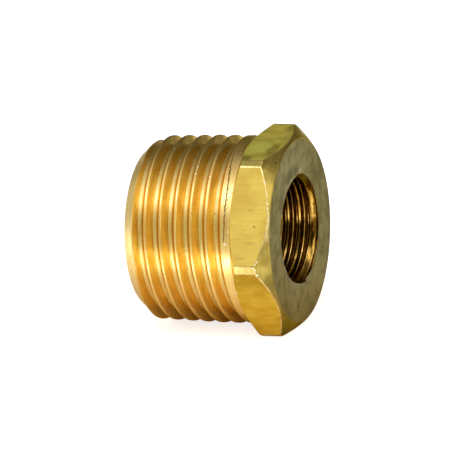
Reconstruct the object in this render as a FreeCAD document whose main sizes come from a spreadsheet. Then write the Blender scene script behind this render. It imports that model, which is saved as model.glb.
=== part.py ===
# Hexagon reducing bushing, turned in one piece from brass hexagon bar.
# A tapered half inch pipe thread runs up to the hexagon, and a quarter inch thread is cut in the bore.
# The axis lies along X with the hexagon towards +X, resting on one of its flats with +Z up.
# The frame's origin is on the axis, in the plane of the shoulder where the hexagon meets the thread.

import FreeCAD, Part
import math
import os
import Sketcher

os.makedirs("parts", exist_ok=True)
doc = FreeCAD.newDocument("ReducingBushing")

# Driving dimensions, in millimetres and degrees. Lengths along the axis start at the thread's small end.
SIZES = [
    ("thread_length", 13.0, "small end to the shoulder"),
    ("hex_length", 4.57, "shoulder to the end face"),
    ("hex_across_flats", 21.0, "width over two opposite flats"),
    ("corner_diameter", 23.76, "the hexagon's corners are turned down to this"),
    ("face_diameter", 20.5, "flat ring left on the end face by the chamfer"),
    ("face_chamfer_angle", 40.0, "from the plane of the end face"),
    ("shoulder_chamfer_angle", 30.0, "from the plane of the shoulder"),
    ("major_diameter", 20.955, "male thread, at its gauge plane and on the plain collar"),
    ("gauge_length", 8.2, "small end to the gauge plane"),
    ("taper_ratio", 16.0, "length in which the male thread grows by one in diameter"),
    ("pitch", 1.814, "male thread, 14 turns to the inch"),
    ("thread_depth", 1.162, "crest to root, square to the axis"),
    ("thread_angle", 55.0, "between the two flanks of a groove"),
    ("root_width", 0.302, "flat at the bottom of a groove, a sixth of the pitch"),
    ("lead_in_length", 1.55, "bevel that starts the thread, along the axis"),
    ("lead_in_diameter", 17.6, "outside of the small end's flat ring"),
    ("last_groove_gap", 1.04, "shoulder to the centre of the groove where it starts to rise"),
    ("run_out_start", 330.0, "where the groove starts to rise, about +X and from +Y towards +Z"),
    ("run_out_sweep", 160.0, "turn in which the groove rises to the surface"),
    ("bore_diameter", 11.445, "crests of the female quarter inch thread"),
    ("bore_entry_diameter", 13.2, "countersink on the end face"),
    ("bore_exit_diameter", 12.4, "countersink at the small end"),
    ("countersink_angle", 90.0, "included angle of both countersinks"),
    ("cutter_clearance", 0.12, "height of the thread cutter above the crests"),
    ("hex_trim", 1.5, "ring trimmed off outside the corners"),
]

sheet = doc.addObject("Spreadsheet::Sheet", "Sizes")
for row, (name, value, meaning) in enumerate(SIZES, start=1):
    sheet.set(f"A{row}", name)
    sheet.set(f"B{row}", str(value))
    sheet.set(f"C{row}", meaning)
    sheet.setAlias(f"B{row}", name)
doc.recompute()

# What follows from the driving dimensions, as expressions that the sketches share.
TOTAL = "(Sizes.thread_length + Sizes.hex_length)"
TAPER = "(1 / (2 * Sizes.taper_ratio))"
CREST = "Sizes.major_diameter / 2"
SMALL_END_CREST = f"({CREST} - Sizes.gauge_length * {TAPER})"
LEAD_IN_CREST = f"({SMALL_END_CREST} + Sizes.lead_in_length * {TAPER})"
LEAD_IN_END = "Sizes.lead_in_diameter / 2"
CORNER = "Sizes.corner_diameter / 2"
FACE = "Sizes.face_diameter / 2"
SHOULDER_BEVEL = f"(({CORNER} - {CREST}) * tan(Sizes.shoulder_chamfer_angle * 1deg))"
FACE_BEVEL = f"(({CORNER} - {FACE}) * tan(Sizes.face_chamfer_angle * 1deg))"
HEX_POINT = "(Sizes.hex_across_flats / 2 / cos(30deg))"
TRIM = f"({CORNER} + Sizes.hex_trim)"
BORE = "Sizes.bore_diameter / 2"
ENTRY = "Sizes.bore_entry_diameter / 2"
EXIT = "Sizes.bore_exit_diameter / 2"
ENTRY_DEPTH = f"(({ENTRY} - {BORE}) / tan(Sizes.countersink_angle / 2 * 1deg))"
EXIT_DEPTH = f"(({EXIT} - {BORE}) / tan(Sizes.countersink_angle / 2 * 1deg))"
LAST_GROOVE = "(Sizes.thread_length - Sizes.last_groove_gap)"
LAST_ROOT = f"({CREST} + ({LAST_GROOVE} - Sizes.gauge_length) * {TAPER} - Sizes.thread_depth)"
CUT_HEIGHT = "(Sizes.thread_depth + Sizes.cutter_clearance)"
HALF_ROOT = "(Sizes.root_width / 2)"
HALF_TOP = f"({HALF_ROOT} + {CUT_HEIGHT} * tan(Sizes.thread_angle / 2 * 1deg))"
RUN_OUT_LENGTH = "(Sizes.pitch * Sizes.run_out_sweep / 360)"


def plane(body, role):
    """The body's own origin plane of that role."""
    return next(item for item in body.Origin.OriginFeatures if item.Role == role)


def new_sketch(body, name, role):
    sketch = body.newObject("Sketcher::SketchObject", name)
    sketch.AttachmentSupport = [(plane(body, role), "")]
    sketch.MapMode = "FlatFace"
    return sketch


def bind(sketch, index, name, expression):
    """Names a dimension of the sketch and ties it to the sheet."""
    sketch.renameConstraint(index, name)
    sketch.setExpression(f"Constraints.{name}", expression)


def value_of(expression):
    """The number that an expression gives with the sheet as it stands."""
    return float(sheet.evalExpression(expression))


def closed_outline(sketch, corners):
    """Straight edges through named corners, each placed by two dimensions from the sketch's origin."""
    points = [FreeCAD.Vector(value_of(x), value_of(y), 0) for _, x, y in corners]
    count = len(points)
    for index in range(count):
        sketch.addGeometry(Part.LineSegment(points[index], points[(index + 1) % count]), False)
    for index in range(count):
        sketch.addConstraint(Sketcher.Constraint("Coincident", index, 2, (index + 1) % count, 1))
    for index, (name, x, y) in enumerate(corners):
        across = sketch.addConstraint(Sketcher.Constraint("DistanceX", -1, 1, index, 1, points[index].x))
        bind(sketch, across, f"{name}_along", x)
        out = sketch.addConstraint(Sketcher.Constraint("DistanceY", -1, 1, index, 1, points[index].y))
        bind(sketch, out, f"{name}_radius", y)


def volume_of(feature):
    """Rebuilds the part, stops if the feature failed, and returns the body's volume after it."""
    doc.recompute()
    if {"Invalid", "Error"} & set(feature.State):
        raise RuntimeError(f"{feature.Name} did not build: {feature.State}")
    if feature.Shape.isNull() or not feature.Shape.isValid():
        raise RuntimeError(f"{feature.Name} has no sound shape")
    return feature.Shape.Volume


def volume_after_cut(feature, before):
    """The same for a feature that has to take material away."""
    after = volume_of(feature)
    if after >= before:
        raise RuntimeError(f"{feature.Name} removes nothing")
    return after


body = doc.addObject("PartDesign::Body", "Bushing")
body.Label = "reducing_bushing"
body.setExpression("Placement.Base.x", "-Sizes.thread_length")
doc.recompute()

# The turned blank: lead-in, tapered stem, plain collar, and the bevelled head before its flats.
blank_sketch = new_sketch(body, "BlankOutline", "XZ_Plane")
closed_outline(blank_sketch, [
    ("small_end_centre", "0", "0"),
    ("small_end", "0", LEAD_IN_END),
    ("lead_in_top", "Sizes.lead_in_length", LEAD_IN_CREST),
    ("gauge_plane", "Sizes.gauge_length", CREST),
    ("shoulder", "Sizes.thread_length", CREST),
    ("corner_start", f"Sizes.thread_length + {SHOULDER_BEVEL}", CORNER),
    ("corner_end", f"{TOTAL} - {FACE_BEVEL}", CORNER),
    ("face_rim", TOTAL, FACE),
    ("face_centre", TOTAL, "0"),
])
blank = body.newObject("PartDesign::Revolution", "Blank")
blank.Profile = blank_sketch
blank.ReferenceAxis = (blank_sketch, ["H_Axis"])
blank.Angle = 360
volume = volume_of(blank)

# The six flats: what lies outside the hexagon is trimmed from the head, from the end face to the shoulder.
flats_sketch = new_sketch(body, "FlatsOutline", "YZ_Plane")
flats_sketch.setExpression("AttachmentOffset.Base.z", TOTAL)
point_radius = value_of(HEX_POINT)
trim_radius = value_of(TRIM)
centre = FreeCAD.Vector(0, 0, 0)
upward = FreeCAD.Vector(0, 0, 1)
first_point = FreeCAD.Vector(point_radius, 0, 0)
points = [FreeCAD.Rotation(upward, 60 * side).multVec(first_point) for side in range(6)]
for side in range(6):
    flats_sketch.addGeometry(Part.LineSegment(points[side], points[(side + 1) % 6]), False)
through_points = flats_sketch.addGeometry(Part.Circle(centre, upward, point_radius), True)
trim_circle = flats_sketch.addGeometry(Part.Circle(centre, upward, trim_radius), False)
for side in range(6):
    flats_sketch.addConstraint(Sketcher.Constraint("Coincident", side, 2, (side + 1) % 6, 1))
    flats_sketch.addConstraint(Sketcher.Constraint("PointOnObject", side, 1, through_points))
for side in range(1, 6):
    flats_sketch.addConstraint(Sketcher.Constraint("Equal", 0, side))
flats_sketch.addConstraint(Sketcher.Constraint("Horizontal", 1))
flats_sketch.addConstraint(Sketcher.Constraint("Coincident", through_points, 3, -1, 1))
flats_sketch.addConstraint(Sketcher.Constraint("Coincident", trim_circle, 3, -1, 1))
index = flats_sketch.addConstraint(Sketcher.Constraint("Radius", through_points, point_radius))
bind(flats_sketch, index, "point_radius", HEX_POINT)
index = flats_sketch.addConstraint(Sketcher.Constraint("Radius", trim_circle, trim_radius))
bind(flats_sketch, index, "trim_radius", TRIM)
flats = body.newObject("PartDesign::Pocket", "HexagonFlats")
flats.Profile = flats_sketch
flats.Type = 0
flats.setExpression("Length", "Sizes.hex_length")
volume = volume_after_cut(flats, volume)

# The female side: a bore right through, at the crests of its fine thread, countersunk at both ends.
bore_sketch = new_sketch(body, "BoreOutline", "XZ_Plane")
closed_outline(bore_sketch, [
    ("exit_centre", "0", "0"),
    ("exit_rim", "0", EXIT),
    ("exit_end", EXIT_DEPTH, BORE),
    ("entry_start", f"{TOTAL} - {ENTRY_DEPTH}", BORE),
    ("entry_rim", TOTAL, ENTRY),
    ("entry_centre", TOTAL, "0"),
])
bore = body.newObject("PartDesign::Groove", "Bore")
bore.Profile = bore_sketch
bore.ReferenceAxis = (bore_sketch, ["H_Axis"])
bore.Angle = 360
volume = volume_after_cut(bore, volume)

# The male thread's groove in section, standing where it starts to rise: two flanks and a flat root.
groove_sketch = new_sketch(body, "GrooveOutline", "XZ_Plane")
groove_sketch.AttachmentOffset = FreeCAD.Placement(centre, FreeCAD.Rotation(FreeCAD.Vector(1, 0, 0), 1))
groove_sketch.setExpression("AttachmentOffset.Rotation.Angle", "(Sizes.run_out_start - 90) * 1deg")
closed_outline(groove_sketch, [
    ("root_left", f"{LAST_GROOVE} - {HALF_ROOT}", LAST_ROOT),
    ("root_right", f"{LAST_GROOVE} + {HALF_ROOT}", LAST_ROOT),
    ("top_right", f"{LAST_GROOVE} + {HALF_TOP}", f"{LAST_ROOT} + {CUT_HEIGHT}"),
    ("top_left", f"{LAST_GROOVE} - {HALF_TOP}", f"{LAST_ROOT} + {CUT_HEIGHT}"),
])

# The path of the groove: a right-hand conical helix from there to a turn beyond the small end.
groove_path = doc.addObject("Part::Helix", "GroovePath")
groove_path.SegmentLength = 1
groove_path.setExpression("Radius", LAST_ROOT)
groove_path.setExpression("Pitch", "Sizes.pitch")
groove_path.setExpression("Height", f"{LAST_GROOVE} + Sizes.pitch")
groove_path.setExpression("Angle", f"-atan({TAPER})")
groove_path.setExpression(
    "Placement",
    f"placement(vector({LAST_GROOVE}; 0; 0);"
    " rotation(vector(1; 0; 0); Sizes.run_out_start - 90) * rotation(vector(0; 1; 0); -90))",
)
male_thread = body.newObject("PartDesign::SubtractivePipe", "MaleThread")
male_thread.Profile = groove_sketch
male_thread.Spine = groove_path
male_thread.Mode = "Binormal"
male_thread.Binormal = FreeCAD.Vector(1, 0, 0)
volume = volume_after_cut(male_thread, volume)

# The run-out: the same groove carries on towards the shoulder and rises until it leaves the collar.
run_out = body.newObject("PartDesign::SubtractiveHelix", "RunOut")
run_out.Profile = groove_sketch
run_out.ReferenceAxis = (groove_sketch, ["H_Axis"])
run_out.Mode = 0
run_out.setExpression("Pitch", "Sizes.pitch")
run_out.setExpression("Height", RUN_OUT_LENGTH)
run_out.setExpression("Angle", f"atan(Sizes.thread_depth / {RUN_OUT_LENGTH})")
volume = volume_after_cut(run_out, volume)

# Every object has to be sound before the part is written.
body.Tip = run_out
doc.recompute()
for item in doc.Objects:
    if {"Invalid", "Error"} & set(item.State):
        raise RuntimeError(f"{item.Name} did not build: {item.State}")
if len(body.Shape.Solids) != 1:
    raise RuntimeError("the bushing has to be one solid")
body.Shape.exportStep("parts/reducing_bushing.step")
print(f"reducing_bushing: {volume:.1f} cubic mm, {len(body.Shape.Faces)} faces")
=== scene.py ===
import bpy
import bmesh
import math
from mathutils import Matrix, Vector


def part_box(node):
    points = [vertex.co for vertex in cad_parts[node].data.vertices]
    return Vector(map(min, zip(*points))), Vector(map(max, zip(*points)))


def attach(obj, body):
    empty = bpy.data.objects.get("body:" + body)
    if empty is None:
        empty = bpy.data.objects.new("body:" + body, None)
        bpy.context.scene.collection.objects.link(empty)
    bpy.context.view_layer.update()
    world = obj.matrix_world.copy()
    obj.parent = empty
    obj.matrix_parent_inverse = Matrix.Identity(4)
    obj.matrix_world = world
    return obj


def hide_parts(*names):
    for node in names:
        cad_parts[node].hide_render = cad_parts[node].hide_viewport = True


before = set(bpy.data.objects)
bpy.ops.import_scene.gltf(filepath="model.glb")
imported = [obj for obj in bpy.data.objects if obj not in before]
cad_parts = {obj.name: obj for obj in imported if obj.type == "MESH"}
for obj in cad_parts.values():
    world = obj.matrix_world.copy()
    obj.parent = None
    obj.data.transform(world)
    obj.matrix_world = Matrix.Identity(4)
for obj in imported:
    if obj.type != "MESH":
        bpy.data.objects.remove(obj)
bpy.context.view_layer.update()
cadLow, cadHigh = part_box("reducing_bushing")
millimetre = 0.001          # the meshes are built in mm and shrunk at the end
scene = bpy.context.scene
surfaces = ("thread", "bar", "turned", "face", "tapped", "edge")    # the bushing's material slots in order
near = {"seam": 0.002, "weld": 1e-4, "cut": 1e-5, "rim": 1e-3}      # mm: what counts as the same place


def say(stage):
    print("stage:", stage)


# the body's two ends and the hexagon's own blank, in mm: x runs along the axis, from the shoulder
head = {
    "smallEnd": cadLow.x / millimetre,
    "endFace": cadHigh.x / millimetre,
    "flatDistance": cadHigh.z / millimetre,
    "cornerRadius": cadHigh.y / millimetre,
    "faceRadius": 10.25,
    "faceChamfer": 40,          # degrees from the end face
    "shoulderChamfer": 30,      # degrees from the shoulder
    "shoulderRing": 10.49,      # clear of the collar and inside the flats
    "faceRing": 9.6,            # inner edge of the part of the face that the head brings
    "mouthRadius": 6.57,
    "steps": 288,
    "breakFrom": 1.0,           # the edges in front of this are broken; those by the shoulder stay sharp
    "shortEdge": 0.04,          # slivers that the cuts leave are merged first
    "edgeBreak": 0.09,
    "breakSegments": 2,
    "sharpFrom": 12,            # degrees between two faces whose edge is broken
    "creaseFrom": 25,           # and whose edge stays sharp in the shading
}

maleThread = {
    "pitch": 1.814,
    "crestFlat": 0.12,
    "crestRadius": 0.08,
    "rootFlat": 0.16,
    "rootRadius": 0.28,
    "flankAngle": 27.5,         # from the plane square to the axis
    "majorRadius": 10.4775,
    "gaugeLength": 8.2,         # from the small end
    "taper": 1 / 32,            # growth in radius
    "lastGroove": -1.04,        # where the groove starts to rise
    "lastGrooveAngle": 330,
    "runOutSweep": 160,
    "leadInLength": 1.55,
    "leadInRadius": 8.8,
    "innerLimit": 8.0,
    "stepsPerTurn": 216,
    "flankRows": 4,
    "rootRows": 5,
    "crestRows": 3,
}

femaleThread = {
    "pitch": 1.337,
    "crestFlat": 0.06,
    "crestRadius": 0.26,
    "rootFlat": 0.06,
    "rootRadius": 0.22,
    "flankAngle": 27.5,
    "minorRadius": 5.7225,
    "startAngle": 3,
    "exitRadius": 6.2,
    "stepsPerTurn": 144,
    "flankRows": 2,
    "rootRows": 4,
    "crestRows": 4,
    "mouthDepth": 0.25,         # how deep the mouth's worn edge reaches
    "mouthRuffle": 0.05,        # how far its rim wanders from its circle
    "ruffleWaves": [(5, 0.5, 0.6), (9, 0.35, 2.1), (17, 0.25, 0.0)],    # waves round the rim, share, start
}


# both flats and both radii leave the flank its height: this is the depth that closes the section
def grooveDepth(thread):
    flank = math.radians(thread["flankAngle"])
    lost = math.cos(flank) - (1 - math.sin(flank)) * math.tan(flank)
    flats = (thread["pitch"] - thread["crestFlat"] - thread["rootFlat"]) / 2
    return (flats - lost * (thread["rootRadius"] + thread["crestRadius"])) / math.tan(flank)


# one groove in section, from the middle of a crest to the middle of the next:
# how far along each point lies, and how deep below the crest
def grooveOutline(thread):
    turn = math.pi / 2 - math.radians(thread["flankAngle"])
    depth, pitch = grooveDepth(thread), thread["pitch"]
    rightHalf = []
    for row in range(thread["rootRows"] + 1):
        part = turn * row / thread["rootRows"]
        rightHalf.append((thread["rootFlat"] / 2 + thread["rootRadius"] * math.sin(part),
                          depth - thread["rootRadius"] * (1 - math.cos(part))))
    crest = []
    for row in range(thread["crestRows"] + 1):
        part = turn * (1 - row / thread["crestRows"])
        crest.append(((pitch - thread["crestFlat"]) / 2 - thread["crestRadius"] * math.sin(part),
                      thread["crestRadius"] * (1 - math.cos(part))))
    (footAlong, footDepth), (topAlong, topDepth) = rightHalf[-1], crest[0]
    for row in range(1, thread["flankRows"]):
        share = row / thread["flankRows"]
        rightHalf.append((footAlong + (topAlong - footAlong) * share,
                          footDepth + (topDepth - footDepth) * share))
    rightHalf += crest + [(pitch / 2, 0.0)]
    leftHalf = [(-along, deep) for along, deep in reversed(rightHalf)]
    return leftHalf + rightHalf


# the outline is repeated along the axis and spun through one turn, which shifts it by one pitch
def spinThread(thread, firstGroove, lastEdge, radiusAt):
    outline = grooveOutline(thread)
    pitch, steps = thread["pitch"], thread["stepsPerTurn"]
    bm = bmesh.new()
    chain = []
    groove = firstGroove
    while groove - pitch < lastEdge:
        for along, deep in outline[(1 if chain else 0):]:
            chain.append(bm.verts.new((groove + along, radiusAt(deep), 0)))
        groove += pitch
    edges = [bm.edges.new(pair) for pair in zip(chain, chain[1:])]
    bmesh.ops.spin(bm, geom=chain + edges, cent=(0, 0, 0), axis=(1, 0, 0), dvec=(pitch / steps, 0, 0),
                   angle=2 * math.pi, steps=steps)
    bmesh.ops.remove_doubles(bm, verts=bm.verts, dist=near["seam"])
    return bm


def polar(point):
    return point.x, math.hypot(point.y, point.z), math.degrees(math.atan2(point.z, point.y)) % 360


def setRadius(vert, radius):
    across = math.hypot(vert.co.y, vert.co.z)
    vert.co.y *= radius / across
    vert.co.z *= radius / across


def trimEnds(bm, low, high):
    for place, outward in ((low, -1), (high, 1)):
        bmesh.ops.bisect_plane(bm, geom=bm.verts[:] + bm.edges[:] + bm.faces[:], dist=near["cut"],
                               plane_co=(place, 0, 0), plane_no=(outward, 0, 0), clear_outer=True)


# the groove follows the taper, climbs out of the metal in its run-out and is cut off by the lead-in's cone
def buildMaleThread():
    thread = maleThread
    pitch = thread["pitch"]
    gaugePlane = head["smallEnd"] + thread["gaugeLength"]
    grooveAtZero = thread["lastGroove"] - pitch * thread["lastGrooveAngle"] / 360
    turnsBack = math.ceil((grooveAtZero - head["smallEnd"]) / pitch) + 2
    leadInCrest = thread["majorRadius"] + (thread["leadInLength"] - thread["gaugeLength"]) * thread["taper"]
    leadInSlope = (leadInCrest - thread["leadInRadius"]) / thread["leadInLength"]
    bm = spinThread(thread, grooveAtZero - turnsBack * pitch, pitch,
                    lambda deep: thread["majorRadius"] - deep)
    for vert in bm.verts:
        x, radius, angle = polar(vert.co)
        turn = (x - thread["lastGroove"]) / pitch - (angle - thread["lastGrooveAngle"]) / 360
        past = angle - thread["lastGrooveAngle"] + 360 * round(turn)
        risen = min(max(past / thread["runOutSweep"], 0.0), 1.0)
        radius += (x - gaugePlane) * thread["taper"] + grooveDepth(thread) * risen
        leadIn = thread["leadInRadius"] + leadInSlope * (x - head["smallEnd"])
        setRadius(vert, max(min(radius, thread["majorRadius"], leadIn), thread["innerLimit"]))
    trimEnds(bm, head["smallEnd"], 0.0)
    say("male thread")
    return bm


# the tapped bore, with a cone at the small end and a worn, slightly ruffled rim at its mouth
def buildFemaleThread():
    thread = femaleThread
    pitch = thread["pitch"]
    bm = spinThread(thread, head["smallEnd"] - 2 * pitch + pitch * thread["startAngle"] / 360,
                    head["endFace"] + pitch, lambda deep: thread["minorRadius"] + deep)
    mouthSlope = (head["mouthRadius"] - thread["minorRadius"]) / thread["mouthDepth"]
    for vert in bm.verts:
        x, radius, angle = polar(vert.co)
        around = math.radians(angle)
        ruffle = thread["mouthRuffle"] * sum(share * math.sin(waves * around + start)
                                             for waves, share, start in thread["ruffleWaves"])
        mouth = head["mouthRadius"] + ruffle - (head["endFace"] - x) * mouthSlope
        exitCone = thread["exitRadius"] - (x - head["smallEnd"])
        setRadius(vert, max(radius, mouth, exitCone))
    trimEnds(bm, head["smallEnd"], head["endFace"])
    for face in bm.faces:
        face.material_index = surfaces.index("tapped")
    say("female thread")
    return bm


# a turned blank with six flats cut from it; every edge is then broken a little, as the real one is
def buildHead():
    shoulderSlope = math.tan(math.radians(head["shoulderChamfer"]))
    shoulderRun = (head["cornerRadius"] - head["shoulderRing"]) * shoulderSlope
    faceSlope = math.tan(math.radians(head["faceChamfer"]))
    faceRun = (head["cornerRadius"] - head["faceRadius"]) * faceSlope
    bm = bmesh.new()
    outline = [(0, head["shoulderRing"]), (shoulderRun, head["cornerRadius"]),
               (head["endFace"] - faceRun, head["cornerRadius"]), (head["endFace"], head["faceRadius"]),
               (head["endFace"], head["faceRing"])]
    chain = [bm.verts.new((x, radius, 0)) for x, radius in outline]
    edges = [bm.edges.new(pair) for pair in zip(chain, chain[1:])]
    bmesh.ops.spin(bm, geom=chain + edges, cent=(0, 0, 0), axis=(1, 0, 0), angle=2 * math.pi,
                   steps=head["steps"], use_merge=True)
    bmesh.ops.recalc_face_normals(bm, faces=bm.faces)
    for face in bm.faces:
        onFace = all(vert.co.x > head["endFace"] - near["weld"] for vert in face.verts)
        face.material_index = surfaces.index("face" if onFace else "turned")
    for side in range(6):
        angle = math.radians(30 + 60 * side)
        normal = Vector((0, math.cos(angle), math.sin(angle)))
        cut = bmesh.ops.bisect_plane(bm, geom=bm.verts[:] + bm.edges[:] + bm.faces[:], dist=near["cut"],
                                     plane_co=normal * head["flatDistance"], plane_no=normal,
                                     clear_outer=True)
        rim = [item for item in cut["geom_cut"] if isinstance(item, bmesh.types.BMEdge)]
        flat = bmesh.ops.contextual_create(bm, geom=rim)
        for face in flat["faces"]:
            face.material_index = surfaces.index("bar")
    ahead = [edge for edge in bm.edges if max(vert.co.x for vert in edge.verts) > head["breakFrom"]]
    bmesh.ops.dissolve_degenerate(bm, dist=head["shortEdge"], edges=ahead)
    bmesh.ops.recalc_face_normals(bm, faces=bm.faces)
    sharp = [edge for edge in bm.edges if len(edge.link_faces) == 2
             and edge.calc_face_angle(0) > math.radians(head["sharpFrom"])
             and max(vert.co.x for vert in edge.verts) > head["breakFrom"]]
    broken = bmesh.ops.bevel(bm, geom=sharp, offset=head["edgeBreak"], offset_type="OFFSET", affect="EDGES",
                             segments=head["breakSegments"], profile=0.5, material=-1, clamp_overlap=False)
    for face in broken["faces"]:
        ringed = all(vert.co.x > head["endFace"] - 2 * head["edgeBreak"] for vert in face.verts)
        face.material_index = surfaces.index("turned" if ringed else "edge")
    say("hexagon head")
    return bm


def addPart(target, source):
    mesh = bpy.data.meshes.new("part")
    source.to_mesh(mesh)
    source.free()
    target.from_mesh(mesh)
    bpy.data.meshes.remove(mesh)


# fills the flat ring between two open edges that lie in one plane square to the axis
def closeRing(bm, place, surface):
    rim = [edge for edge in bm.edges if edge.is_boundary
           and all(abs(vert.co.x - place) < near["rim"] for vert in edge.verts)]
    made = bmesh.ops.triangle_fill(bm, edges=rim, use_beauty=True, normal=(1, 0, 0))
    for item in made["geom"]:
        if isinstance(item, bmesh.types.BMFace):
            item.material_index = surfaces.index(surface)


# the flats and the faces shade flat, the rest smooth with creases; the mouth's worn edge counts as face
def shadeBushing(bm):
    mouth = head["endFace"] - femaleThread["mouthDepth"]
    for face in bm.faces:
        surface = surfaces[face.material_index]
        if surface == "tapped" and face.normal.x > 0.9 and face.calc_center_median().x > mouth:
            surface = "face"
        face.material_index = surfaces.index(surface)
        face.smooth = surface not in ("bar", "face") or surface == "face" and abs(face.normal.x) < 0.99
    for edge in bm.edges:
        if len(edge.link_faces) == 2 and edge.calc_face_angle(0) > math.radians(head["creaseFrom"]):
            edge.smooth = False


def buildBushing():
    bm = bmesh.new()
    for part in (buildMaleThread(), buildHead(), buildFemaleThread()):
        addPart(bm, part)
    closeRing(bm, head["smallEnd"], "face")
    closeRing(bm, 0.0, "turned")
    closeRing(bm, head["endFace"], "face")
    bmesh.ops.remove_doubles(bm, verts=bm.verts, dist=near["weld"])
    bmesh.ops.recalc_face_normals(bm, faces=bm.faces)
    if bm.calc_volume(signed=True) < 0:
        bmesh.ops.reverse_faces(bm, faces=bm.faces)
    gaps = sum(len(edge.link_faces) != 2 for edge in bm.edges)
    triangles = sum(len(face.verts) - 2 for face in bm.faces)
    print("bushing: edges without two faces", gaps, "triangles", triangles)
    shadeBushing(bm)
    bm.transform(Matrix.Scale(millimetre, 4))
    mesh = bpy.data.meshes.new("bushing")
    bm.to_mesh(mesh)
    bm.free()
    bushing = bpy.data.objects.new("bushing", mesh)
    scene.collection.objects.link(bushing)
    say("bushing closed")
    return bushing


# a colour is written as its sRGB hex and handed over as linear light
def linear(code):
    channels = [int(code[place:place + 2], 16) / 255 for place in (1, 3, 5)]
    return [value / 12.92 if value <= 0.04045 else ((value + 0.055) / 1.055) ** 2.4
            for value in channels] + [1.0]


# inputs come in the order of the sockets or by name: each is a value, a colour's hex, a node or its output
def addNode(tree, kind, *inputs, named=None, **settings):
    node = tree.nodes.new("ShaderNode" + kind)
    for name, value in settings.items():
        setattr(node, name, value)
    for name, item in [*enumerate(inputs), *(named or {}).items()]:
        if isinstance(item, bpy.types.Node):
            item = item.outputs[0]
        if isinstance(item, bpy.types.NodeSocket):
            tree.links.new(item, node.inputs[name])
        else:
            node.inputs[name].default_value = linear(item) if isinstance(item, str) else item
    return node


def newMaterial(name):
    material = bpy.data.materials.new(name)
    material.use_nodes = True
    tree = material.node_tree
    tree.nodes.clear()
    return material, tree


# object coordinates in mm
def millimetres(tree):
    place = addNode(tree, "TexCoord").outputs["Object"]
    return addNode(tree, "VectorMath", place, (1 / millimetre,) * 3, operation="MULTIPLY")


# noise whose grain is that long in mm along x, y and z
def grain(tree, place, size, detail=2.0):
    waves = tuple(1 / length for length in size)
    stretched = addNode(tree, "VectorMath", place, waves, operation="MULTIPLY")
    return addNode(tree, "TexNoise", named={"Vector": stretched, "Scale": 1.0, "Detail": detail})


# a soft edge: one level before its first value and another past its second
def softEdge(tree, value, start, end, before=0.0, after=1.0):
    return addNode(tree, "MapRange", value, start, end, before, after, interpolation_type="SMOOTHSTEP")


# what several masks leave of each other, or a mask at a share of its strength
def masked(tree, *shares):
    left = shares[0]
    for share in shares[1:]:
        left = addNode(tree, "Math", left, share, operation="MULTIPLY")
    return left


# one colour over a share of another; multiplied, it is a film that keeps the marks below it
def painted(tree, share, below, above, way="MIX"):
    mixed = addNode(tree, "Mix", named={0: share, 6: below, 7: above}, data_type="RGBA", blend_type=way)
    return mixed.outputs[2]


def filmed(tree, share, color, tint):
    return painted(tree, share, color, tint, "MULTIPLY")


# rises between its first two edges and falls between its last two
def band(tree, value, edges, level=1.0):
    rise = softEdge(tree, value, edges[0], edges[1], 0.0, level)
    return masked(tree, rise, softEdge(tree, value, edges[2], edges[3], 1.0, 0.0))


# a mask adds that much to a height, a roughness or a place
def raised(tree, value, mask, amount):
    return addNode(tree, "Math", mask, amount, value, operation="MULTIPLY_ADD")


# how far from the axis, in mm
def axisDistance(tree, place):
    across = addNode(tree, "VectorMath", place, (0.0, 1.0, 1.0), operation="MULTIPLY")
    return addNode(tree, "VectorMath", across, operation="LENGTH").outputs[1]


markEdge = {"scale": 5.0, "from": 0.5, "to": 1.0}       # noise waves per mm, and where a mark's edge fades


# a mark is 1 inside its ragged edge and 0 outside; its size is a radius in mm, or one along x, y and z
def marks(tree, place, spots, ragged=0.2):
    noise = addNode(tree, "TexNoise", named={"Vector": place, "Scale": markEdge["scale"], "Detail": 2.0})
    shift = addNode(tree, "VectorMath", noise.outputs[1], (2 * ragged,) * 3, (-ragged,) * 3,
                    operation="MULTIPLY_ADD")
    wandering = addNode(tree, "VectorMath", place, shift, operation="ADD")
    total = 0.0
    for centre, size in spots:
        size = size if isinstance(size, tuple) else (size,) * 3
        away = addNode(tree, "VectorMath", wandering, centre, operation="SUBTRACT")
        away = addNode(tree, "VectorMath", away, size, operation="DIVIDE")
        away = addNode(tree, "VectorMath", away, operation="LENGTH").outputs[1]
        mark = softEdge(tree, away, markEdge["from"], markEdge["to"], 1.0, 0.0)
        total = addNode(tree, "Math", total, mark, operation="MAXIMUM")
    return total


# round specks scattered at random: mean spacing and radius in mm, and the share of the cells that hold one
def specksAt(tree, place, spacing, radius, share):
    cells = addNode(tree, "TexVoronoi", named={"Vector": place, "Scale": 1 / spacing})
    within = softEdge(tree, cells.outputs["Distance"], 0.5 * radius / spacing, radius / spacing, 1.0, 0.0)
    chance = addNode(tree, "SeparateXYZ", cells.outputs["Color"])
    return masked(tree, within, softEdge(tree, chance, 1 - share, 1.01 - share))


camera = {
    "azimuth": 21.49,           # from -Y towards +X
    "elevation": 21.24,
    "roll": -6.70,
    "distance": 813.2,          # mm
    "aim": (-4.323, 0.120, 0.357),
    "lens": 583.35,
    "sensor": 36,
    "clip": (0.05, 20),         # metres
}


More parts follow.
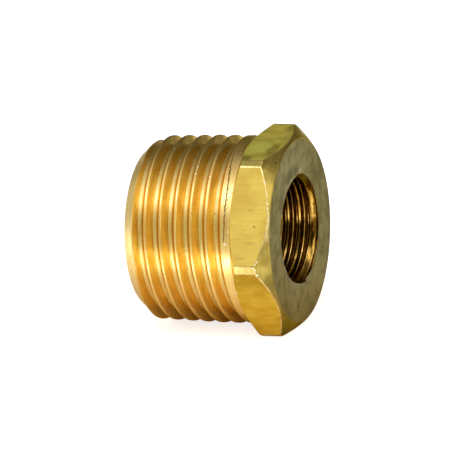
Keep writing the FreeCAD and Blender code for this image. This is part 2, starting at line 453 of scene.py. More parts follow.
def buildCamera():
    azimuth, elevation, roll = (math.radians(camera[key]) for key in ("azimuth", "elevation", "roll"))
    level = Vector((math.sin(azimuth), -math.cos(azimuth), 0))
    back = level * math.cos(elevation) + Vector((0, 0, math.sin(elevation)))
    right = Vector((0, 0, 1)).cross(back).normalized()
    up = back.cross(right)
    rolledRight = right * math.cos(roll) + up * math.sin(roll)
    rolledUp = up * math.cos(roll) - right * math.sin(roll)
    data = bpy.data.cameras.new("camera")
    data.lens = camera["lens"]
    data.sensor_width = camera["sensor"]
    data.clip_start, data.clip_end = camera["clip"]
    view = bpy.data.objects.new("camera", data)
    place = (Vector(camera["aim"]) + back * camera["distance"]) * millimetre
    turn = Matrix((rolledRight, rolledUp, back)).transposed().to_4x4()
    view.matrix_world = Matrix.Translation(place) @ turn
    scene.collection.objects.link(view)
    scene.camera = view
    say("camera")


# the paper that the bushing lies on: places are in mm, a pair for a soft edge and four for a band
paper = {
    "size": 3.0,                # metres
    "color": "#E8E8E6",
    "paintedGoldNearColor": "#E8D09E",     # the paper beside the brass is painted with the golden light it throws
    "nearTo": 16,
    "ends": (110, 190),         # behind the bushing the paper is painted darker, as painted shade
    "side": (55, 85),           # and on its right too
    "sideGlow": 0.1,
    "paintedShadeColor": "#77756E",
    "glow": 0.92,               # what the camera and the reflections see on top of the sky's light
    "glowFrom": 8,              # painted shadow: the glow fades beneath the bushing
    "glowTo": 32,
    "glowFront": (-15, 10),
    "glowBehind": 0.15,         # share of the glow that is left behind the bushing, as painted shade
    "rightGlow": (14, 24),      # beside both ends the paper glows with painted light from behind as well
    "leftGlow": (-20, -28),
    "endGlow": (10, 26),
    "farFrom": 60,              # the glow ends where the camera no longer sees the paper
    "farTo": 100,
    "farShare": 0.2,
    "cameraGlow": 0.75,         # what the camera alone sees where the glow fades
    "goldColor": "#F0A828",     # painted light: a golden glow on the paper for what the brass throws down, which its underside shows again
    "goldLevel": 0.15,
    "goldFrom": (4, 10),
    "goldTo": (12, 24),
    "poolAlong": (-20, -17, -11, -6),       # in front a pool of light is painted on the paper, tinted like the key
    "poolAcross": (-75, -50, -28, -18),
    "poolLevel": 1.8,
}

# the soft light round the bushing, by direction
sky = {
    "peak": 2.0,                # the ramps hold levels as shares of this
    # both lists give elevation from -Y over the top and level; the key is a band that the sides don't see
    "open": [(0, 0.88), (14, 0.68), (30, 0.70), (40, 0.77), (51, 0.90), (62, 0.95), (73, 0.90), (87, 0.72),
             (100, 0.52), (116, 0.32), (132, 0.20), (160, 0.13)],
    "key": [(36, 0.0), (46, 0.30), (55, 1.1), (64, 1.6), (73, 0.95), (84, 0.36), (100, 0.22), (116, 0.08),
            (132, 0.0)],
    "keyTint": (0.94, 1.06, 1.9),
    "keySides": (0.45, 0.72),
    "sideRise": (0.5, 0.68, 1.15),          # the open sky is brightest between the middle and the ends
    "sideFrom": 0.78,           # towards +X and -X it falls off
    "sideLevel": 0.3,
    # light beyond each end: which way, how far aside, how high above the level and how strong
    "ends": [(-1, (0.75, 0.9), (-0.02, 0.04), 0.75), (1, (0.82, 0.92), (0.02, 0.14), 1.6)],
}


def buildFloor():
    material, tree = newMaterial("palePaper")
    x, y = addNode(tree, "SeparateXYZ", millimetres(tree)).outputs[:2]
    path = addNode(tree, "LightPath").outputs
    half = (head["endFace"] - head["smallEnd"]) / 2
    along = addNode(tree, "Math", x, head["endFace"] - half, operation="SUBTRACT")
    along = addNode(tree, "Math", along, operation="ABSOLUTE")
    beyond = addNode(tree, "Math", along, half, operation="SUBTRACT")
    beyond = addNode(tree, "Math", beyond, 0.0, operation="MAXIMUM")
    away = addNode(tree, "CombineXYZ", beyond, y)           # how far from the bushing's axis
    away = addNode(tree, "VectorMath", away, operation="LENGTH").outputs[1]

    # painted golden light on the paper next to the brass
    color = painted(tree, softEdge(tree, away, 0.0, paper["nearTo"]), paper["paintedGoldNearColor"], paper["color"])
    # painted shade: the paper is darker behind the bushing and on its right
    paintedShadeArea = addNode(tree, "Math", softEdge(tree, y, *paper["ends"]), softEdge(tree, x, *paper["side"]),
                    operation="MAXIMUM")
    sheet = addNode(tree, "BsdfDiffuse", painted(tree, paintedShadeArea, color, paper["paintedShadeColor"]))

    # the glow is painted light and shade: it fades as a painted shadow beneath and behind the bushing and
    # rises beside both ends
    inFront = softEdge(tree, y, *paper["glowFront"], 1.0, paper["glowBehind"])
    beside = addNode(tree, "Math", softEdge(tree, x, *paper["rightGlow"]),
                     softEdge(tree, x, *paper["leftGlow"]), operation="ADD")
    beside = masked(tree, beside, softEdge(tree, y, *paper["endGlow"], 1.0, 0.0))
    around = addNode(tree, "Math", inFront, beside, operation="MAXIMUM")
    lit = masked(tree, softEdge(tree, away, paper["glowFrom"], paper["glowTo"]), around)
    nearby = softEdge(tree, away, paper["farFrom"], paper["farTo"], 1.0, paper["farShare"])
    shared = masked(tree, lit, nearby, softEdge(tree, x, *paper["side"], 1.0, paper["sideGlow"]))
    direct = addNode(tree, "Math", path["Is Camera Ray"], path["Is Glossy Ray"], operation="MAXIMUM")
    direct = addNode(tree, "Math", direct, path["Is Transmission Ray"], operation="MAXIMUM")
    unlit = addNode(tree, "Math", 1.0, lit, operation="SUBTRACT")
    level = addNode(tree, "Math", masked(tree, direct, paper["glow"], shared),
                    masked(tree, unlit, paper["cameraGlow"], path["Is Camera Ray"]), operation="ADD")
    glow = addNode(tree, "Emission", (1, 1, 1, 1), level)

    # painted light: a golden glow round the bushing that only reflections see
    ring = masked(tree, softEdge(tree, away, *paper["goldFrom"]),
                  softEdge(tree, away, *paper["goldTo"], paper["goldLevel"], 0.0), path["Is Glossy Ray"])
    gold = addNode(tree, "Emission", paper["goldColor"], ring)
    # a painted pool of light in front, which only reflections see
    tintPeak = max(sky["keyTint"])
    pool = masked(tree, band(tree, x, paper["poolAlong"]),
                  band(tree, y, paper["poolAcross"], paper["poolLevel"]), path["Is Glossy Ray"], tintPeak)
    paintedPool = addNode(tree, "Emission", tuple(value / tintPeak for value in sky["keyTint"]) + (1.0,), pool)
    for light in (glow, gold, paintedPool):
        sheet = addNode(tree, "AddShader", sheet, light)
    addNode(tree, "OutputMaterial", sheet)

    bm = bmesh.new()
    bmesh.ops.create_grid(bm, x_segments=1, y_segments=1, size=paper["size"] / 2)
    bmesh.ops.translate(bm, verts=bm.verts, vec=(0, 0, cadLow.z))
    mesh = bpy.data.meshes.new("floor")
    bm.to_mesh(mesh)
    bm.free()
    mesh.materials.append(material)
    floor = bpy.data.objects.new("floor", mesh)
    scene.collection.objects.link(floor)
    say("floor")


def skyRamp(tree, elevation, levels):
    ramp = addNode(tree, "ValToRGB", elevation)
    ramp.color_ramp.interpolation = "EASE"
    stops = ramp.color_ramp.elements
    for index, (degrees, level) in enumerate(levels):
        stop = stops[index] if index < 2 else stops.new(degrees / 180)
        stop.position = degrees / 180
        stop.color = (level / sky["peak"],) * 3 + (1.0,)
    return ramp


def buildSky():
    world = bpy.data.worlds.new("studio")
    scene.world = world
    world.use_nodes = True
    tree = world.node_tree
    tree.nodes.clear()
    x, y, z = addNode(tree, "SeparateXYZ", addNode(tree, "TexCoord").outputs["Generated"]).outputs
    forward = addNode(tree, "Math", y, -1.0, operation="MULTIPLY")
    elevation = addNode(tree, "Math", z, forward, operation="ARCTAN2")
    elevation = addNode(tree, "Math", elevation, math.pi, operation="DIVIDE")
    aside = addNode(tree, "Math", x, operation="ABSOLUTE")
    riseFrom, riseTo, riseLevel = sky["sideRise"]
    sides = masked(tree, softEdge(tree, aside, riseFrom, riseTo, 1.0, riseLevel),
                   softEdge(tree, aside, sky["sideFrom"], 1.0, 1.0, sky["sideLevel"]))
    light = addNode(tree, "VectorMath", skyRamp(tree, elevation, sky["open"]), named={"Scale": sides},
                    operation="SCALE")
    keyMask = softEdge(tree, aside, *sky["keySides"], 1.0, 0.0)
    key = skyRamp(tree, elevation, sky["key"])
    key = addNode(tree, "VectorMath", key, sky["keyTint"], operation="MULTIPLY")
    key = addNode(tree, "VectorMath", key, named={"Scale": keyMask}, operation="SCALE")
    light = addNode(tree, "VectorMath", light, key, operation="ADD")
    for outward, reach, height, level in sky["ends"]:
        toEnd = addNode(tree, "Math", x, outward, operation="MULTIPLY")
        glow = masked(tree, softEdge(tree, toEnd, *reach),
                      softEdge(tree, z, *height, 0.0, level / sky["peak"]))
        light = addNode(tree, "VectorMath", light, glow, operation="ADD")
    seen = addNode(tree, "LightPath").outputs["Is Camera Ray"]         # the camera itself sees plain white
    light = painted(tree, seen, light, (1 / sky["peak"],) * 3 + (1.0,))
    addNode(tree, "OutputWorld", addNode(tree, "Background", light, sky["peak"]))
    say("sky")


# what every brass surface shares, as levels of its noise and shares
brass = {"patchFrom": 0.38, "patchTo": 0.66, "streakFrom": 0.35, "streakTo": 0.75, "speckShare": 0.8}


# a clean and a dull tone in patches, marks left by the tool, and specks that are small pits
def brassSurface(name, finish, extra):
    material, tree = newMaterial(name)
    place = millimetres(tree)
    patches = grain(tree, place, (finish["patch"],) * 3, 3.0)
    patches = softEdge(tree, patches, brass["patchFrom"], brass["patchTo"])
    toolMarks = grain(tree, place, finish["toolGrain"], 3.0)
    specks = specksAt(tree, place, *finish["specks"])
    color = painted(tree, masked(tree, patches, finish["dullShare"]), finish["color"], finish["dull"])
    streaks = softEdge(tree, toolMarks, brass["streakFrom"], brass["streakTo"], 0.0, finish["streakShare"])
    color = painted(tree, streaks, color, finish["streak"])
    color = painted(tree, masked(tree, specks, brass["speckShare"]), color, finish["speck"])
    height = raised(tree, masked(tree, toolMarks, finish["toolHeight"]), specks, -finish["speckHeight"])
    roughness = softEdge(tree, patches, 0.0, 1.0, *finish["roughness"])
    color, height, roughness = extra(tree, place, color, height, roughness)
    bump = addNode(tree, "Bump", named={"Strength": 1.0, "Distance": millimetre, "Height": height})
    shader = addNode(tree, "BsdfPrincipled", named={
        "Metallic": 1.0, "Specular Tint": finish["edgeTint"], "Base Color": color, "Roughness": roughness,
        "Normal": bump})
    addNode(tree, "OutputMaterial", shader)
    return material


# bright brass fresh from the threading die: clean gold that its grooves turn orange, marked along the turns
threadFinish = {
    "color": "#F6D47C", "dull": "#E6B858", "patch": 2.2, "dullShare": 0.5,
    "toolGrain": (0.16, 3.0, 3.0), "streak": "#B98A3C", "streakShare": 0.35, "toolHeight": 0.006,
    "specks": (0.5, 0.09, 0.25), "speck": "#5A3C12", "speckHeight": 0.01,
    "roughness": (0.18, 0.27), "edgeTint": "#FFF0B8",
}

# drawn hexagon bar: a satin yellow with fine lines along the bar
barFinish = {
    "color": "#F5D360", "dull": "#DDB347", "patch": 2.6, "dullShare": 0.6,
    "toolGrain": (2.5, 0.16, 0.16), "streak": "#C09A40", "streakShare": 0.22, "toolHeight": 0.0018,
    "specks": (1.1, 0.07, 0.3), "speck": "#8A6E2A", "speckHeight": 0.0,
    "roughness": (0.26, 0.36), "edgeTint": "#FFEA94",
}

# turned chamfers and corners: duller, with rings round the axis
turnedFinish = {
    "color": "#DCC066", "dull": "#A8923E", "patch": 1.8, "dullShare": 0.6,
    "toolGrain": (0.12, 1.6, 1.6), "streak": "#857238", "streakShare": 0.4, "toolHeight": 0.004,
    "specks": (0.6, 0.08, 0.3), "speck": "#4E421C", "speckHeight": 0.006,
    "roughness": (0.3, 0.42), "edgeTint": "#FFEFB4",
}

# the sawn and faced ends: grey olive, matt and softly mottled; their darkness is partly a dull tone of their
# own and partly painted shade
faceFinish = {
    "color": "#9D9159", "dull": "#80744A", "patch": 1.3, "dullShare": 0.7,
    "toolGrain": (0.9, 0.9, 0.9), "streak": "#8E8858", "streakShare": 0.5, "toolHeight": 0.004,
    "specks": (0.7, 0.09, 0.25), "speck": "#4A4020", "speckHeight": 0.008,
    "roughness": (0.45, 0.58), "edgeTint": "#FFF5D8",
}

# the tapped bore: bright cuts over dark streaks, whose darkness is painted shade inside the bore
tappedFinish = {
    "color": "#F8C860", "dull": "#C08C38", "patch": 1.2, "dullShare": 0.6,
    "toolGrain": (0.3, 0.9, 0.9), "streak": "#5A3C14", "streakShare": 0.75, "toolHeight": 0.008,
    "specks": (0.5, 0.09, 0.3), "speck": "#3A2A10", "speckHeight": 0.006,
    "roughness": (0.12, 0.2), "edgeTint": "#9A8650",
}

# edges that handling has rubbed bright, their pale colour partly a painted highlight
edgeFinish = {
    "color": "#FCDC88", "dull": "#C8A550", "patch": 0.9, "dullShare": 0.8,
    "toolGrain": (0.6, 0.6, 0.6), "streak": "#A8853C", "streakShare": 0.4, "toolHeight": 0.01,
    "specks": (0.6, 0.1, 0.4), "speck": "#7A6228", "speckHeight": 0.006,
    "roughness": (0.2, 0.32), "edgeTint": "#FFECA8",
}


# the roots are darker olive and rougher; the crests are tinted orange as a painted reflection of the orange
# flanks, and nicked, the nicks' pale colour partly a painted glint: from and to are mm below their line
rootDarkening = {"from": 0.84, "to": 0.96, "color": "#B49A4C", "share": 0.26, "roughness": 0.05}
crestPaintedReflection = {"from": 0.09, "to": 0.03, "color": "#EEB860", "share": 0.2, "endsAtX": (-1.2, -0.6)}
crestNicksAndGlints = {"specks": (0.9, 0.14, 0.5), "from": 0.35, "to": 0.2, "color": "#FFEDB4", "height": 0.02}
# the chamfer at the small end is paler and rougher than the thread: places are mm along the axis
leadIn = {"from": -11.4, "to": -11.9, "color": "#F2DAA4", "share": 0.6, "roughness": 0.1,
          "cloud": 0.5, "cloudEdge": (0.3, 0.6, 0.5, 1.0)}


def rootedThread(tree, place, color, height, roughness):
    x = addNode(tree, "SeparateXYZ", place).outputs[0]
    gaugePlane = head["smallEnd"] + maleThread["gaugeLength"]
    grown = addNode(tree, "Math", x, gaugePlane, operation="SUBTRACT")
    crest = addNode(tree, "Math", grown, maleThread["taper"], maleThread["majorRadius"],
                    operation="MULTIPLY_ADD")
    crest = addNode(tree, "Math", crest, maleThread["majorRadius"], operation="MINIMUM")
    below = addNode(tree, "Math", crest, axisDistance(tree, place), operation="SUBTRACT")
    # the roots are darker olive and rougher
    tint = softEdge(tree, below, rootDarkening["from"], rootDarkening["to"])
    color = painted(tree, masked(tree, tint, rootDarkening["share"]), color, rootDarkening["color"])
    roughness = raised(tree, roughness, tint, rootDarkening["roughness"])
    # painted reflection: the crests are tinted orange, as the orange flanks would show in them
    wearAndPaintedTint = masked(tree, softEdge(tree, below, crestPaintedReflection["to"], crestPaintedReflection["from"], crestPaintedReflection["share"], 0.0),
                  softEdge(tree, x, *crestPaintedReflection["endsAtX"], 1.0, 0.0))
    color = painted(tree, wearAndPaintedTint, color, crestPaintedReflection["color"])
    # nicks on the crests, their pale colour partly a painted glint
    nicksAndGlints = masked(tree, specksAt(tree, place, *crestNicksAndGlints["specks"]),
                   softEdge(tree, below, crestNicksAndGlints["to"], crestNicksAndGlints["from"], 1.0, 0.0))
    color = painted(tree, nicksAndGlints, color, crestNicksAndGlints["color"])
    height = raised(tree, height, nicksAndGlints, crestNicksAndGlints["height"])
    atEnd = softEdge(tree, x, leadIn["from"], leadIn["to"])
    cloud = softEdge(tree, grain(tree, place, (leadIn["cloud"],) * 3, 3.0), *leadIn["cloudEdge"])
    color = painted(tree, masked(tree, atEnd, cloud, leadIn["share"]), color, leadIn["color"])
    roughness = raised(tree, roughness, atEnd, leadIn["roughness"])
    return collarScratch(tree, place, color, height, roughness)


# where the last thread fades on the collar, the die left a thin ragged line that ends in a burr,
# whose pale colour is partly a painted glint: its angles are degrees round the axis, and its fades radians
collarLine = {"x": -0.66, "bendAngle": 132, "bendSlope": 1.146, "from": 100, "to": 167, "width": 0.055,
              "fadeIn": 0.3, "fadeOut": 0.03, "jagGrain": 0.35, "jag": 0.3, "depth": 0.02, "color": "#4A3010",
              "burr": ((-0.55, -10.21, 2.35), 0.2), "burrGlintColor": "#FFF0B8", "burrHeight": 0.03}


def collarScratch(tree, place, color, height, roughness):
    x, y, z = addNode(tree, "SeparateXYZ", place).outputs
    angle = addNode(tree, "Math", z, y, operation="ARCTAN2")
    before = addNode(tree, "Math", math.radians(collarLine["bendAngle"]), angle, operation="SUBTRACT")
    before = addNode(tree, "Math", before, 0.0, operation="MAXIMUM")
    away = addNode(tree, "Math", before, collarLine["bendSlope"], x, operation="MULTIPLY_ADD")
    away = addNode(tree, "Math", away, collarLine["x"], operation="SUBTRACT")
    ragged = grain(tree, place, (collarLine["jagGrain"],) * 3)
    ragged = addNode(tree, "Math", ragged, 0.5, operation="SUBTRACT")
    away = addNode(tree, "Math", raised(tree, away, ragged, collarLine["jag"]), operation="ABSOLUTE")
    first, last = math.radians(collarLine["from"]), math.radians(collarLine["to"])
    line = masked(tree, softEdge(tree, away, collarLine["width"] * 0.4, collarLine["width"] * 1.6, 1.0, 0.0),
                  softEdge(tree, angle, first, first + collarLine["fadeIn"]),
                  softEdge(tree, angle, last - collarLine["fadeOut"], last, 1.0, 0.0))
    # the burr's pale colour is partly a painted glint
    burr = marks(tree, place, [collarLine["burr"]])
    color = painted(tree, line, color, collarLine["color"])
    color = painted(tree, burr, color, collarLine["burrGlintColor"])
    height = raised(tree, height, line, -collarLine["depth"])
    return color, raised(tree, height, burr, collarLine["burrHeight"]), roughness


# small pits and dark rubbed places, each a centre and a size in mm
barPits = {"spots": [((2.93, -9.66, 4.28), 0.16)], "depth": 0.02}
barRubs = {"spots": [((2.47, -8.74, 5.86), (0.5, 0.2, 0.2)), ((2.62, -10.57, 2.7), (0.7, 0.22, 0.22)),
                     ((1.51, -11.41, 1.23), (0.9, 0.2, 0.2))],
           "ragged": 0.12, "share": 0.25, "wearAndPaintedTint": 0.7, "color": "#6E5820"}
# painted light on the flat that lies upwards: it is greener and duller, darker in patches near its ends and
# lighter in its middle
topFlatPaintedLight = {"from": 9.8, "to": 10.3, "roughness": 0.52, "color": "#FFEE6C", "dark": "#E0CC5A",
             "cloud": (2.4, 1.3, 2.4), "cloudEdge": (0.38, 0.62, 0.1, 0.9), "ragged": 0.5,
             "bright": [((1.6, -1.6, 10.5), (1.7, 2.4, 1.0))], "brightColor": "#FFFA78", "brightShare": 0.75,
             "darkPatches": [((3.5, 4.2, 10.5), (1.0, 1.5, 1.0)), ((0.9, -5.0, 10.5), (1.2, 1.1, 1.0)),
                         ((3.3, -2.4, 10.5), (0.8, 2.2, 1.0))], "darkPatch": "#84763A", "darkPatchShare": 0.5}
# the flat that leans to the floor in front is painted yellower, as warm light from below, and darker along
# its upper edge, as painted shade
lowerFlatPaintedLight = {"leans": (0.0, -math.cos(math.radians(30)), -math.sin(math.radians(30))),
             "from": 10.2, "to": 10.4, "color": "#F6F9DA",
             "upper": "#DCD5CC", "upperFrom": -4.6, "upperTo": -1.6,
             "streaks": (2.4, 1.6, 1.1), "streakEdge": (0.4, 0.62), "streak": "#F4F0DC"}


def wornFlatsWithPaintedLight(tree, place, color, height, roughness):
    z = addNode(tree, "SeparateXYZ", place).outputs[2]
    # painted light: the upward flat's greener, duller tone
    onTop = softEdge(tree, z, topFlatPaintedLight["from"], topFlatPaintedLight["to"])
    cloud = softEdge(tree, grain(tree, place, topFlatPaintedLight["cloud"], 3.0), *topFlatPaintedLight["cloudEdge"])
    tint = painted(tree, cloud, topFlatPaintedLight["dark"], topFlatPaintedLight["color"])
    bright = marks(tree, place, topFlatPaintedLight["bright"], topFlatPaintedLight["ragged"])
    tint = painted(tree, masked(tree, bright, topFlatPaintedLight["brightShare"]), tint, topFlatPaintedLight["brightColor"])
    darkPatches = marks(tree, place, topFlatPaintedLight["darkPatches"], topFlatPaintedLight["ragged"])
    tint = painted(tree, masked(tree, darkPatches, topFlatPaintedLight["darkPatchShare"]), tint, topFlatPaintedLight["darkPatch"])
    color = painted(tree, onTop, color, tint)
    # painted light and shade on the flat that leans to the floor
    leaning = addNode(tree, "VectorMath", place, lowerFlatPaintedLight["leans"], operation="DOT_PRODUCT").outputs[1]
    lower = softEdge(tree, leaning, lowerFlatPaintedLight["from"], lowerFlatPaintedLight["to"])
    color = filmed(tree, lower, color, lowerFlatPaintedLight["color"])
    streaks = softEdge(tree, grain(tree, place, lowerFlatPaintedLight["streaks"], 3.0), *lowerFlatPaintedLight["streakEdge"])
    color = filmed(tree, masked(tree, lower, streaks), color, lowerFlatPaintedLight["streak"])
    upper = softEdge(tree, z, lowerFlatPaintedLight["upperFrom"], lowerFlatPaintedLight["upperTo"])
    color = filmed(tree, masked(tree, lower, upper), color, lowerFlatPaintedLight["upper"])
    pits = marks(tree, place, barPits["spots"])
    rubs = masked(tree, marks(tree, place, barRubs["spots"], barRubs["ragged"]), barRubs["share"])
    wearAndPaintedTint = masked(tree, addNode(tree, "Math", pits, rubs, operation="MAXIMUM"), barRubs["wearAndPaintedTint"])
    roughness = softEdge(tree, onTop, 0.0, 1.0, barFinish["roughness"][0], topFlatPaintedLight["roughness"])
    color = painted(tree, wearAndPaintedTint, color, barRubs["color"])
    return color, raised(tree, height, pits, -barPits["depth"]), roughness


# bright burrs where the corners and the chamfer have been knocked, their pale colour partly a painted glint
burrsAndGlints = {"spots": [((3.02, -11.88, 0.28), 0.14), ((3.25, -11.72, 0.69), 0.14), ((3.45, -11.55, 0.87), 0.13),
                   ((3.3, -11.76, 0.0), 0.12), ((3.37, -11.66, -0.64), 0.2), ((3.76, -7.11, 8.67), 0.16),
                   ((4.23, -8.36, 6.52), 0.14), ((4.32, -8.61, 6.09), 0.14), ((3.5, -6.54, -9.48), 0.15)],
         "ragged": 0.06, "color": "#FFF4C4", "height": 0.02}


def knockedWithGlints(tree, place, color, height, roughness):
    # burrs, their pale colour partly a painted glint
    bright = marks(tree, place, burrsAndGlints["spots"], burrsAndGlints["ragged"])
    color = painted(tree, bright, color, burrsAndGlints["color"])
    return color, raised(tree, height, bright, burrsAndGlints["height"]), roughness


turnedPits = {"spots": [((4.22, -4.26, 9.77), 0.18)], "depth": 0.03, "color": "#54461E"}
# painted shade: the corner that lies upwards is darker olive, like the painted flat above it; the first pair
# is in z, the second in x
upperCornerPaintedShade = {"z": (9.7, 10.0), "share": 0.8, "x": (3.3, 3.7), "color": "#A38E3C"}
# the chamfer round the face is duller than the corners behind it; low in front it is painted darker, as
# painted shade, and at its lowest yellower, as painted warm light from below
chamferPaintedShade = {"x": (3.1, 3.4), "color": "#F2F0D8", "lowZ": (2.0, -3.0), "low": "#D9D8E4",
               "lowestZ": (-4.5, -7.0), "lowest": "#EBEBBC"}
# pale rubs on the chamfer, partly wear and partly a painted highlight
chamferRubAndHighlight = {"spots": [((4.4, -9.2, 5.0), (0.3, 0.9, 1.7)), ((4.35, -9.9, 3.3), (0.25, 0.5, 1.0))],
              "ragged": 0.15, "share": 0.6, "color": "#FBE3A0"}


def ringedCorners(tree, place, color, height, roughness):
    x, _, z = addNode(tree, "SeparateXYZ", place).outputs
    # painted shade on the corner that lies upwards
    tint = masked(tree, softEdge(tree, z, *upperCornerPaintedShade["z"], 0.0, upperCornerPaintedShade["share"]),
                  softEdge(tree, x, *upperCornerPaintedShade["x"], 1.0, 0.0))
    color = painted(tree, tint, color, upperCornerPaintedShade["color"])
    # painted shade low in front on the chamfer, and painted warm light at its lowest
    ahead = softEdge(tree, x, *chamferPaintedShade["x"])
    color = filmed(tree, ahead, color, chamferPaintedShade["color"])
    low = masked(tree, ahead, softEdge(tree, z, *chamferPaintedShade["lowZ"]))
    color = filmed(tree, low, color, chamferPaintedShade["low"])
    lowest = masked(tree, ahead, softEdge(tree, z, *chamferPaintedShade["lowestZ"]))
    color = filmed(tree, lowest, color, chamferPaintedShade["lowest"])
    # rubs that are partly a painted highlight
    rubAndHighlight = masked(tree, marks(tree, place, chamferRubAndHighlight["spots"], chamferRubAndHighlight["ragged"]), chamferRubAndHighlight["share"])
    color = painted(tree, rubAndHighlight, color, chamferRubAndHighlight["color"])
    pits = marks(tree, place, turnedPits["spots"])
    color = painted(tree, pits, color, turnedPits["color"])
    return knockedWithGlints(tree, place, color, raised(tree, height, pits, -turnedPits["depth"]), roughness)


# painted shade in the bore by height: dark above and at half height, left clear in the bands where the glints
# fall
borePaintedShade = {
    "bands": [(-6.6, "#8C887C"), (-5.6, "#B8B09C"), (-4.5, "#FFFFFF"), (-3.6, "#E8E4D4"), (-1.8, "#E0DCC8"),
              (-0.6, "#FFFFFF"), (1.2, "#FFFFFF"), (2.2, "#DCD4B8"), (3.2, "#B4AC90"), (4.4, "#948E76"),
              (6.6, "#A8A494")],            # z in mm and a film
    "reach": 7.0,               # the bands' own range in z
    "drift": 1.6,               # mm that their edges wander, and over what length
    "driftGrain": 1.5,
}
# painted shade: at half height the crests alone are dark
boreCrestShade = {"radius": (5.9, 6.1), "z": (-4.5, -3.6, -1.7, -0.9), "tint": "#6C6654"}
# painted shade: the far end is darker above its middle, and the top is greyer
boreDeepShade = {"x": (2.4, 1.0), "z": (-1.0, 1.0), "tint": "#7C7666"}
boreTopShade = {"z": (3.6, 5.0), "color": "#807A60", "share": 0.8}
# painted shade on the first turn: only a narrow ragged line is left bright, and at half height not even that
mouthShade = {"x": (3.75, 3.9), "line": 4.06, "unshaded": 0.07, "fade": 0.154, "wander": 0.7,
              "wanderGrain": 1.1, "tint": "#8A7A54", "share": 0.95, "lowestZ": (-4.4, -3.2),
              "brokenZ": (-3.6, -3.0, -1.3, -0.7), "brokenX": (4.16, 4.24)}


def boreWithPaintedShade(tree, place, color, height, roughness):
    x, _, z = addNode(tree, "SeparateXYZ", place).outputs
    drift = grain(tree, place, (borePaintedShade["driftGrain"],) * 3)
    drift = addNode(tree, "Math", drift, 0.5, operation="SUBTRACT")
    level = raised(tree, z, drift, borePaintedShade["drift"])
    share = addNode(tree, "MapRange", level, -borePaintedShade["reach"], borePaintedShade["reach"])
    ramp = addNode(tree, "ValToRGB", share)
    stops = ramp.color_ramp.elements
    for index, (bandZ, tint) in enumerate(borePaintedShade["bands"]):
        position = (bandZ + borePaintedShade["reach"]) / (2 * borePaintedShade["reach"])
        stop = stops[index] if index < 2 else stops.new(position)
        stop.position = position
        stop.color = linear(tint)
    # painted shade in bands by height
    color = filmed(tree, 1.0, color, ramp)
    crests = softEdge(tree, axisDistance(tree, place), *boreCrestShade["radius"], 1.0, 0.0)
    onCrest = masked(tree, crests, band(tree, level, boreCrestShade["z"]))
    color = filmed(tree, onCrest, color, boreCrestShade["tint"])
    # painted shade deep in the bore
    deep = masked(tree, softEdge(tree, x, *boreDeepShade["x"]), softEdge(tree, z, *boreDeepShade["z"]))
    color = filmed(tree, deep, color, boreDeepShade["tint"])

    # painted shade on the first turn of the bore
    wander = grain(tree, place, (mouthShade["wanderGrain"],) * 3, 3.0)
    wander = addNode(tree, "Math", wander, 0.5, operation="SUBTRACT")
    fromLine = raised(tree, x, wander, mouthShade["wander"])
    fromLine = addNode(tree, "Math", fromLine, mouthShade["line"], operation="SUBTRACT")
    fromLine = addNode(tree, "Math", fromLine, operation="ABSOLUTE")
    mouthShadeMask = masked(tree, softEdge(tree, fromLine, mouthShade["unshaded"], mouthShade["fade"]),
                   softEdge(tree, z, *mouthShade["lowestZ"]))
    broken = masked(tree, band(tree, level, mouthShade["brokenZ"]),
                    softEdge(tree, x, *mouthShade["brokenX"], 1.0, 0.0))
    mouthShadeMask = addNode(tree, "Math", mouthShadeMask, broken, operation="MAXIMUM")
    mouthShadeMask = masked(tree, mouthShadeMask, softEdge(tree, x, *mouthShade["x"], 0.0, mouthShade["share"]))
    color = filmed(tree, mouthShadeMask, color, mouthShade["tint"])
    # painted shade along the top of the bore
    topShade = softEdge(tree, z, *boreTopShade["z"], 0.0, boreTopShade["share"])
    return painted(tree, topShade, color, boreTopShade["color"]), height, roughness


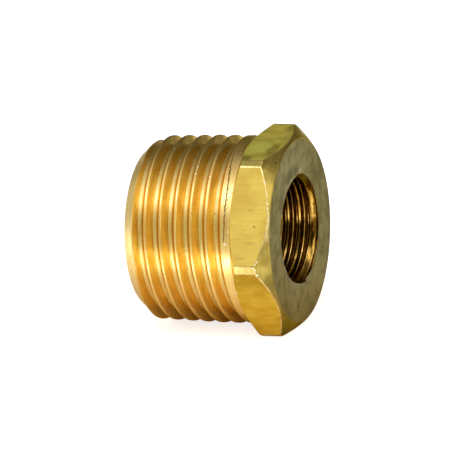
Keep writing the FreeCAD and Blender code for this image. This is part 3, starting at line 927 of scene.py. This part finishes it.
# the face is darker in soft patches round the bore, each a centre, a size and a share, and greyer towards
# both sides
faceDarkPatches = {"spots": [((4.57, -0.5, 7.0), (1.0, 2.6, 1.0), 0.5),
                         ((4.57, -4.4, 5.0), (1.0, 1.5, 1.8), 0.28),
                         ((4.57, -6.6, 1.0), (1.0, 0.8, 2.6), 0.2),
                         ((4.57, 1.8, 9.3), (1.0, 1.2, 0.6), 0.25)],
               "ragged": 0.5, "color": "#4A4626"}
faceGrey = {"right": (2.0, 6.5), "rightLow": (-8.0, -5.0), "rightColor": "#E0DFC4",
            "left": (-4.0, -6.5), "leftColor": "#E6E3D2"}
mouthBurrs = {"spots": [((4.57, 2.19, 6.3), (0.6, 0.35, 0.22)), ((4.57, -1.1, 6.4), (0.6, 0.5, 0.16))],
              "ragged": 0.15, "share": 0.6, "color": "#E8DCB0", "height": 0.02}
facePits = {"spots": [((4.57, 7.5, -0.61), 0.22), ((4.57, 5.8, -1.5), 0.2), ((4.57, -5.1, -6.88), 0.22),
                      ((4.57, -3.3, -7.8), 0.25), ((4.57, -3.5, -8.3), 0.2)],
            "depth": 0.04, "color": "#3E3518"}


def patchedFace(tree, place, color, height, roughness):
    y, z = addNode(tree, "SeparateXYZ", place).outputs[1:]
    toRight = masked(tree, softEdge(tree, y, *faceGrey["right"]), softEdge(tree, z, *faceGrey["rightLow"]))
    color = filmed(tree, toRight, color, faceGrey["rightColor"])
    color = filmed(tree, softEdge(tree, y, *faceGrey["left"]), color, faceGrey["leftColor"])
    for centre, size, share in faceDarkPatches["spots"]:
        darkPatch = masked(tree, marks(tree, place, [(centre, size)], faceDarkPatches["ragged"]), share)
        color = painted(tree, darkPatch, color, faceDarkPatches["color"])
    burr = marks(tree, place, mouthBurrs["spots"], mouthBurrs["ragged"])
    color = painted(tree, masked(tree, burr, mouthBurrs["share"]), color, mouthBurrs["color"])
    height = raised(tree, height, burr, mouthBurrs["height"])
    pits = marks(tree, place, facePits["spots"])
    color = painted(tree, pits, color, facePits["color"])
    return color, raised(tree, height, pits, -facePits["depth"]), roughness


buildCamera()
buildFloor()
buildSky()
bushing = buildBushing()
for material in (       # in the order of the surfaces
    brassSurface("dieCutBrass", threadFinish, rootedThread),
    brassSurface("drawnBrass", barFinish, wornFlatsWithPaintedLight),
    brassSurface("turnedBrass", turnedFinish, ringedCorners),
    brassSurface("facedBrass", faceFinish, patchedFace),
    brassSurface("tappedBrass", tappedFinish, boreWithPaintedShade),
    brassSurface("rubbedHighlightBrass", edgeFinish, knockedWithGlints),
):
    bushing.data.materials.append(material)
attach(bushing, "root")
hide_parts("reducing_bushing")
say("materials")

scene.view_settings.view_transform = "Standard"
